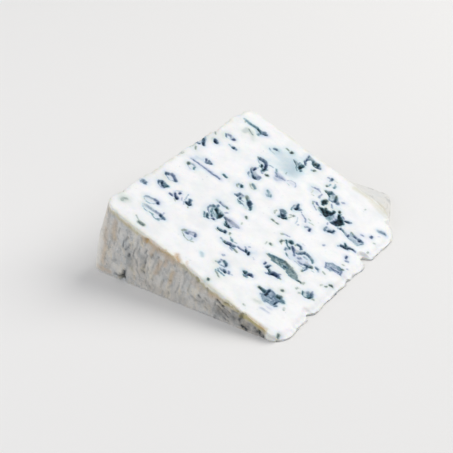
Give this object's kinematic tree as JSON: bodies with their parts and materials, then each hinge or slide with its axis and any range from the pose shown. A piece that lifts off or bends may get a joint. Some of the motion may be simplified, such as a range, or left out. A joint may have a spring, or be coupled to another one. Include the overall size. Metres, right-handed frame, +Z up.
{
  "type": "blue cheese wedge",
  "caption": "Thin wedge of soft blue cheese lying on its cut face: white paste with open blue mould pockets, a grey natural rind round the thick end and both sides.",
  "frame": {"origin": "centre of the wedge's box, on the surface it lies on", "axes": "+X from the thick rind end to the thin edge, +Y along the wheel's height towards the slumped far side, +Z up"},
  "size_m": [0.1004, 0.1454, 0.0371],
  "materials": {
    "cheese": "moist white paste with blue-grey mould pockets, dry mottled grey rind on the outside"
  },
  "bodies": {
    "root": {"cheese_wedge": "cheese"}
  },
  "joints": []
}
